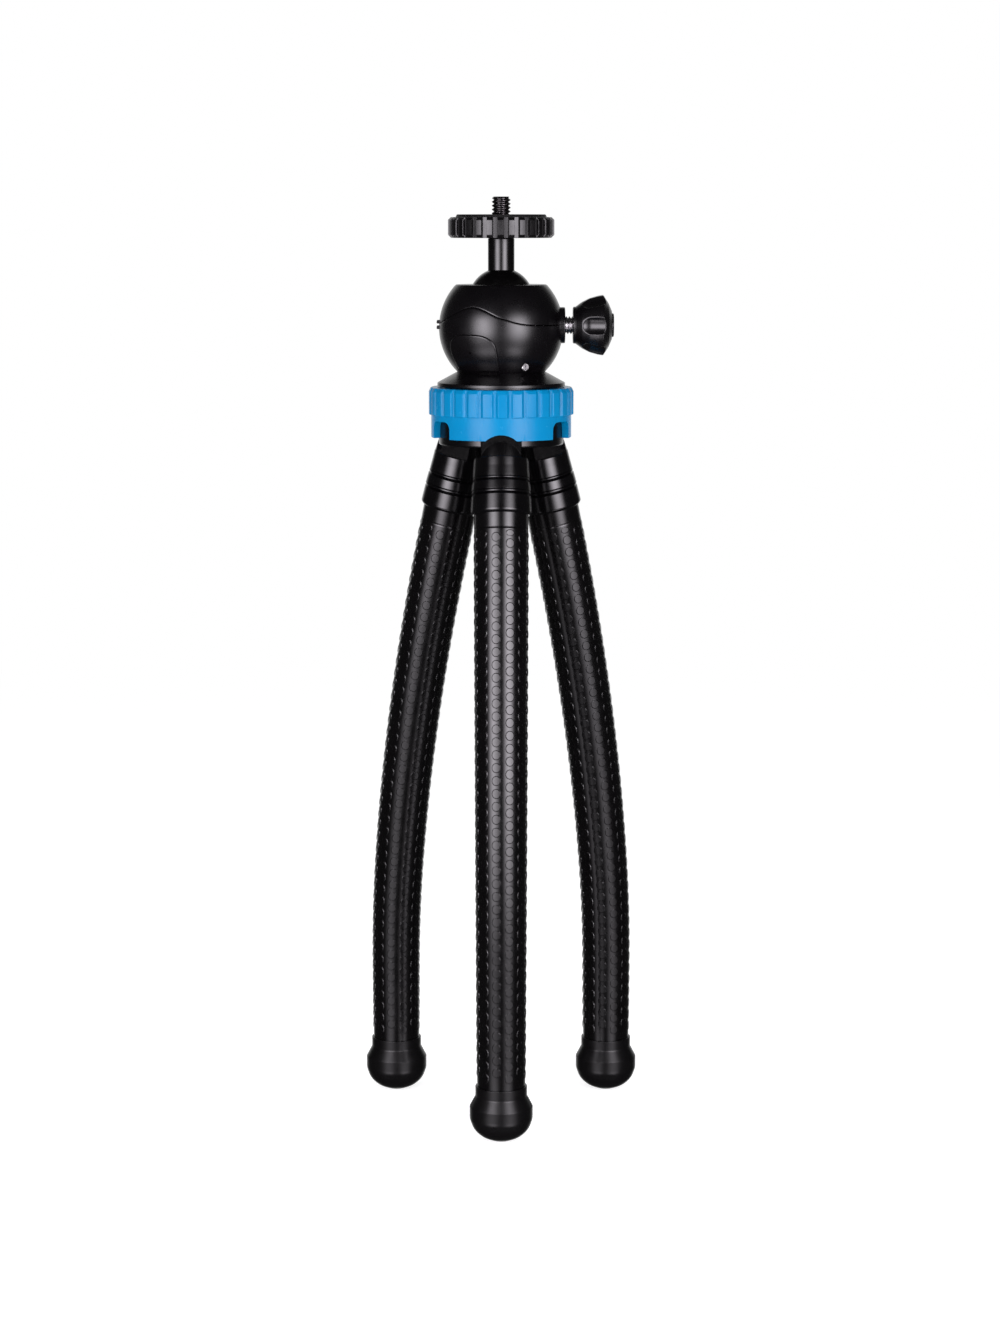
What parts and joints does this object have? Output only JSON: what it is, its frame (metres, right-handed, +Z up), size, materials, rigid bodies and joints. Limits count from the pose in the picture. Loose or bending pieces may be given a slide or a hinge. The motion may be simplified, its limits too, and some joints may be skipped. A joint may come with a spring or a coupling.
{
  "type": "flexible-leg mini camera tripod",
  "caption": "Small camera tripod: bendable rubber-sleeved legs on a hub with a toothed leg-angle ring, a ball head with a side clamp knob, and a camera screw with a lock wheel.",
  "frame": {"origin": "on the central axis at floor level, midway between the three feet", "axes": "+Z up along the upright camera screw, -Y towards the front leg, +X along the clamp knob"},
  "size_m": [0.0952, 0.0854, 0.3127],
  "materials": {
    "steel": "machined",
    "stem_metal": "glossy black",
    "pad_rubber": "matt",
    "wheel_plastic": "satin",
    "housing_plastic": "polished",
    "knob_plastic": "satin",
    "seat_nylon": "moulded",
    "brass": "machined",
    "hub_plastic": "polished",
    "ring_plastic": "satin",
    "collar_plastic": "satin",
    "leg_rubber": "satin",
    "foot_rubber": "satin",
    "core_plastic": "moulded"
  },
  "bodies": {
    "hub_and_housing": {"hub_upper": "hub_plastic", "hub_lower": "hub_plastic", "hinge_pins": "steel", "head_bolt": "steel", "head_base": "housing_plastic", "lower_shell": "housing_plastic", "upper_shell": "housing_plastic", "clamp_nut": "brass", "grub_screw": "steel"},
    "ball_seat": {"ball_seat": "seat_nylon"},
    "ball": {"ball_stem": "stem_metal"},
    "camera_screw": {"camera_screw": "steel"},
    "grip_pad": {"grip_pad": "pad_rubber"},
    "lock_wheel": {"lock_wheel": "wheel_plastic"},
    "clamp_shoe": {"clamp_shoe": "seat_nylon"},
    "clamp_knob": {"clamp_knob": "knob_plastic", "knob_screw": "steel", "knob_cap": "knob_plastic"},
    "lock_ring": {"lock_ring": "ring_plastic"},
    "front_leg_1": {"front_leg_collar": "collar_plastic", "front_leg_sleeve_1": "leg_rubber", "front_leg_core_1": "core_plastic"},
    "front_leg_2": {"front_leg_sleeve_2": "leg_rubber", "front_leg_core_2": "core_plastic"},
    "front_leg_3": {"front_leg_sleeve_3": "leg_rubber", "front_leg_core_3": "core_plastic"},
    "front_leg_4": {"front_leg_sleeve_4": "leg_rubber", "front_leg_core_4": "core_plastic"},
    "front_leg_5": {"front_leg_sleeve_5": "leg_rubber", "front_leg_core_5": "core_plastic", "front_leg_foot": "foot_rubber"},
    "right_leg_1": {"right_leg_collar": "collar_plastic", "right_leg_sleeve_1": "leg_rubber", "right_leg_core_1": "core_plastic"},
    "right_leg_2": {"right_leg_sleeve_2": "leg_rubber", "right_leg_core_2": "core_plastic"},
    "right_leg_3": {"right_leg_sleeve_3": "leg_rubber", "right_leg_core_3": "core_plastic"},
    "right_leg_4": {"right_leg_sleeve_4": "leg_rubber", "right_leg_core_4": "core_plastic"},
    "right_leg_5": {"right_leg_sleeve_5": "leg_rubber", "right_leg_core_5": "core_plastic", "right_leg_foot": "foot_rubber"},
    "left_leg_1": {"left_leg_collar": "collar_plastic", "left_leg_sleeve_1": "leg_rubber", "left_leg_core_1": "core_plastic"},
    "left_leg_2": {"left_leg_sleeve_2": "leg_rubber", "left_leg_core_2": "core_plastic"},
    "left_leg_3": {"left_leg_sleeve_3": "leg_rubber", "left_leg_core_3": "core_plastic"},
    "left_leg_4": {"left_leg_sleeve_4": "leg_rubber", "left_leg_core_4": "core_plastic"},
    "left_leg_5": {"left_leg_sleeve_5": "leg_rubber", "left_leg_core_5": "core_plastic", "left_leg_foot": "foot_rubber"}
  },
  "joints": [
    {"name": "ball_pan", "type": "hinge", "parent": "hub_and_housing", "child": "ball_seat", "pos_m": [0, 0, 0.27799], "axis": [0, 0, 1], "continuous": true},
    {"name": "ball_tilt", "type": "hinge", "parent": "ball_seat", "child": "ball", "pos_m": [0, 0, 0.27799], "axis": [1, 0, 0], "range_deg": [-33, 33]},
    {"name": "ball_spin", "type": "hinge", "parent": "ball", "child": "camera_screw", "pos_m": [0, 0, 0.27799], "axis": [0, 0, 1], "continuous": true},
    {"name": "grip_pad_rise", "type": "slide", "parent": "camera_screw", "child": "grip_pad", "axis": [0, 0, 1], "range_m": [0, 0.00381]},
    {"name": "lock_wheel_turn", "type": "hinge", "parent": "grip_pad", "child": "lock_wheel", "pos_m": [0, 0, 0.27799], "axis": [0, 0, 1], "range_deg": [0, 1080]},
    {"name": "clamp_shoe_slide", "type": "slide", "parent": "hub_and_housing", "child": "clamp_shoe", "axis": [1, 0, 0], "range_m": [0, 0.001]},
    {"name": "clamp_knob_turn", "type": "hinge", "parent": "clamp_shoe", "child": "clamp_knob", "pos_m": [0.0215, 0, 0.26989], "axis": [1, 0, 0], "range_deg": [0, 360]},
    {"name": "lock_ring_turn", "type": "hinge", "parent": "hub_and_housing", "child": "lock_ring", "pos_m": [0, 0, 0.24004], "axis": [0, 0, 1], "range_deg": [0, 60]},
    {"name": "front_leg_swing", "type": "hinge", "parent": "hub_and_housing", "child": "front_leg_1", "pos_m": [0, -0.01275, 0.23849], "axis": [-1, 0, 0], "range_deg": [-3, 6]},
    {"name": "front_leg_bend_1", "type": "hinge", "parent": "front_leg_1", "child": "front_leg_2", "pos_m": [0, -0.02706, 0.17796], "axis": [-1, 0, 0], "range_deg": [-24, 24]},
    {"name": "front_leg_sway_1", "type": "hinge", "parent": "front_leg_2", "child": "front_leg_3", "pos_m": [0, -0.03426, 0.14024], "axis": [0, -0.9866, 0.1633], "range_deg": [-24, 24]},
    {"name": "front_leg_bend_2", "type": "hinge", "parent": "front_leg_3", "child": "front_leg_4", "pos_m": [0, -0.0396, 0.10222], "axis": [-1, 0, 0], "range_deg": [-24, 24]},
    {"name": "front_leg_sway_2", "type": "hinge", "parent": "front_leg_4", "child": "front_leg_5", "pos_m": [0, -0.04281, 0.06395], "axis": [0, -0.9991, 0.0419], "range_deg": [-24, 24]},
    {"name": "right_leg_swing", "type": "hinge", "parent": "hub_and_housing", "child": "right_leg_1", "pos_m": [0.01104, 0.00637, 0.23849], "axis": [0.5, -0.866, 0], "range_deg": [-3, 6]},
    {"name": "right_leg_bend_1", "type": "hinge", "parent": "right_leg_1", "child": "right_leg_2", "pos_m": [0.02343, 0.01353, 0.17796], "axis": [0.5, -0.866, 0], "range_deg": [-24, 24]},
    {"name": "right_leg_sway_1", "type": "hinge", "parent": "right_leg_2", "child": "right_leg_3", "pos_m": [0.02967, 0.01713, 0.14024], "axis": [0.8544, 0.4933, 0.1633], "range_deg": [-24, 24]},
    {"name": "right_leg_bend_2", "type": "hinge", "parent": "right_leg_3", "child": "right_leg_4", "pos_m": [0.03429, 0.0198, 0.10222], "axis": [0.5, -0.866, 0], "range_deg": [-24, 24]},
    {"name": "right_leg_sway_2", "type": "hinge", "parent": "right_leg_4", "child": "right_leg_5", "pos_m": [0.03708, 0.02141, 0.06395], "axis": [0.8653, 0.4996, 0.0419], "range_deg": [-24, 24]},
    {"name": "left_leg_swing", "type": "hinge", "parent": "hub_and_housing", "child": "left_leg_1", "pos_m": [-0.01104, 0.00637, 0.23849], "axis": [0.5, 0.866, 0], "range_deg": [-3, 6]},
    {"name": "left_leg_bend_1", "type": "hinge", "parent": "left_leg_1", "child": "left_leg_2", "pos_m": [-0.02343, 0.01353, 0.17796], "axis": [0.5, 0.866, 0], "range_deg": [-24, 24]},
    {"name": "left_leg_sway_1", "type": "hinge", "parent": "left_leg_2", "child": "left_leg_3", "pos_m": [-0.02967, 0.01713, 0.14024], "axis": [-0.8544, 0.4933, 0.1633], "range_deg": [-24, 24]},
    {"name": "left_leg_bend_2", "type": "hinge", "parent": "left_leg_3", "child": "left_leg_4", "pos_m": [-0.03429, 0.0198, 0.10222], "axis": [0.5, 0.866, 0], "range_deg": [-24, 24]},
    {"name": "left_leg_sway_2", "type": "hinge", "parent": "left_leg_4", "child": "left_leg_5", "pos_m": [-0.03708, 0.02141, 0.06395], "axis": [-0.8653, 0.4996, 0.0419], "range_deg": [-24, 24]}
  ],
  "couplings": [
    {"joint": "grip_pad_rise", "follows": "lock_wheel_turn", "m_per_rad": 0.00020213},
    {"joint": "clamp_shoe_slide", "follows": "clamp_knob_turn", "m_per_rad": 0.00015915}
  ]
}
